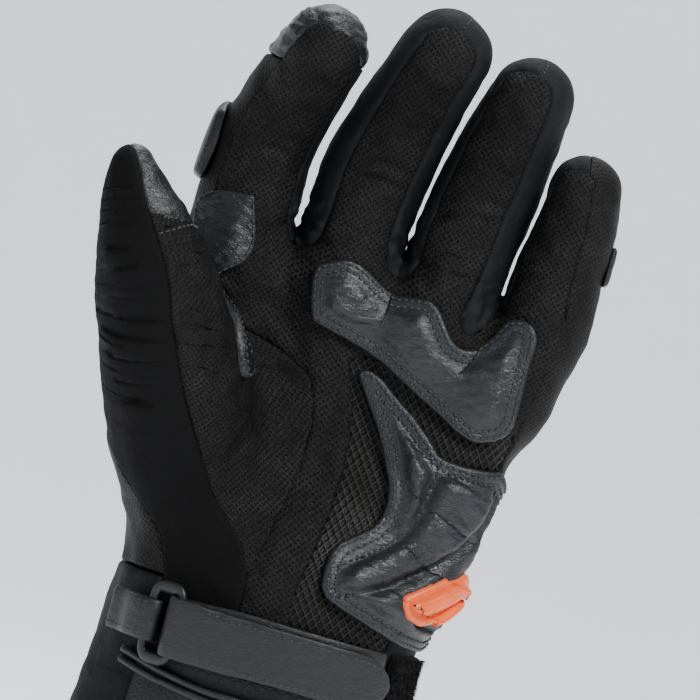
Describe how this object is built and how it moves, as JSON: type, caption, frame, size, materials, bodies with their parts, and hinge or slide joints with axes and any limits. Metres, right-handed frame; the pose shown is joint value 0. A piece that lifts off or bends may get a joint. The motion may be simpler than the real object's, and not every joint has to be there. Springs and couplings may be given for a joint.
{
  "type": "motorcycle gauntlet",
  "caption": "Left-hand leather motorcycle gauntlet with perforated palm, padded heel with an orange slider, wrist strap and flared cuff",
  "frame": {"origin": "middle of the cuff's opening, where the hand goes in", "axes": "+Z runs from the cuff's opening to the fingertips, the palm faces -Y, the thumb is on the -X side and the little finger on the +X side"},
  "size_m": [0.1379, 0.1004, 0.2706],
  "materials": {
    "perforated_leather": "black goatskin, perforated in rows",
    "pad_leather": "smooth dark blue grey leather with a soft sheen",
    "smooth_leather": "smooth black leather, fine grain",
    "softshell": "matt black stretch softshell",
    "grip_net": "rubbery net with square openings",
    "cuff_fabric": "dark fabric with a printed hexagon pattern",
    "loop_pile": "black brushed loop pile",
    "buckle_metal": "dark grey lacquered wire",
    "slider_plastic": "orange moulded plastic"
  },
  "bodies": {
    "root": {"palm_panel": "perforated_leather", "back_panel": "perforated_leather", "little_side_panel": "perforated_leather", "radial_side_panel": "perforated_leather", "thumb_palm_panel": "perforated_leather", "fourchette_index_middle": "softshell", "fourchette_middle_ring": "softshell", "fourchette_ring_little": "softshell", "thumb_back_panel": "softshell", "cuff_back_panel": "softshell", "index_tip_cap": "smooth_leather", "web_patch": "smooth_leather", "web_patch_tail": "smooth_leather", "metacarpal_pad": "pad_leather", "heel_pad": "pad_leather", "palm_slider": "slider_plastic", "grip_net": "grip_net", "cuff_front_panel": "cuff_fabric", "cuff_binding": "smooth_leather", "wrist_strap": "pad_leather", "strap_buckle": "buckle_metal", "buckle_tab": "pad_leather", "loop_patch": "loop_pile", "cuff_welt_1": "smooth_leather", "cuff_welt_2": "smooth_leather", "index_knuckle_plate": "smooth_leather", "little_knuckle_plate": "smooth_leather"}
  },
  "joints": []
}
